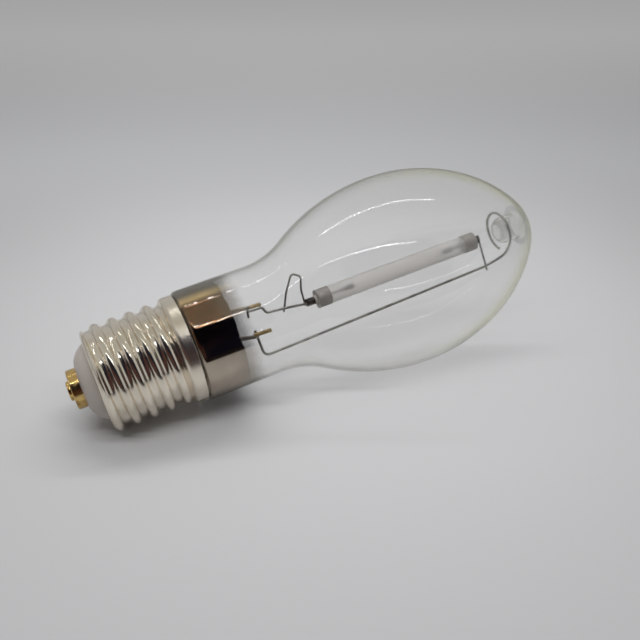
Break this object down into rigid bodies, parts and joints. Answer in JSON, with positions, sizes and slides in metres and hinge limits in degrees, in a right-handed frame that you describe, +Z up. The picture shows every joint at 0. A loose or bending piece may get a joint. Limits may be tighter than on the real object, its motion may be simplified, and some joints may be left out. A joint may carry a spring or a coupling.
{
  "type": "high pressure sodium lamp",
  "caption": "High pressure sodium lamp with a clear ovoid bulb, an alumina arc tube on a wire mount and a large nickel screw cap, lying on its side.",
  "frame": {"origin": "bottom centre of the bounding box, on the surface the lamp lies on", "axes": "+X along the floor from the cap to the bulb's tip, +Z up; the lamp's own axis rises about 9 degrees towards +X"},
  "size_m": [0.1896, 0.076, 0.0771],
  "materials": {
    "clear_glass": "clear gloss",
    "opal_glass": "opal gloss",
    "nickel_plate": "polished",
    "contact_brass": "satin",
    "solder": "satin",
    "cement": "matte",
    "lead_wire": "satin",
    "seal_wire": "satin",
    "bronze_wire": "satin",
    "alumina": "translucent satin",
    "niobium": "satin",
    "frit": "gloss",
    "tungsten": "matte",
    "amalgam": "gloss",
    "getter_steel": "satin",
    "getter_mirror": "mirror"
  },
  "bodies": {
    "root": {"outer_bulb": "clear_glass", "glass_stem": "clear_glass", "screw_shell": "nickel_plate", "cap_insulator": "opal_glass", "contact_plate": "contact_brass", "contact_solder": "solder", "cap_cement": "cement", "outer_lead_contact": "lead_wire", "outer_lead_shell": "lead_wire", "seal_wire_contact": "seal_wire", "seal_wire_shell": "seal_wire", "inner_lead_upper": "lead_wire", "inner_lead_lower": "lead_wire", "lead_tip_upper": "bronze_wire", "lead_tip_lower": "bronze_wire", "lead_stub": "lead_wire", "frame_wire": "lead_wire", "arc_tube": "alumina", "end_plug_lower": "alumina", "end_plug_upper": "alumina", "heat_shield_lower": "niobium", "heat_shield_upper": "niobium", "niobium_tube_lower": "niobium", "niobium_tube_upper": "niobium", "frit_ring_lower": "frit", "frit_ring_upper": "frit", "electrode_rod_lower": "tungsten", "electrode_rod_upper": "tungsten", "electrode_coil_lower": "tungsten", "electrode_coil_upper": "tungsten", "amalgam_drop": "amalgam", "feed_wire": "lead_wire", "expansion_loop": "lead_wire", "cross_strap": "lead_wire", "getter_ring": "getter_steel", "getter_holder": "lead_wire", "getter_film": "getter_mirror"}
  },
  "joints": []
}
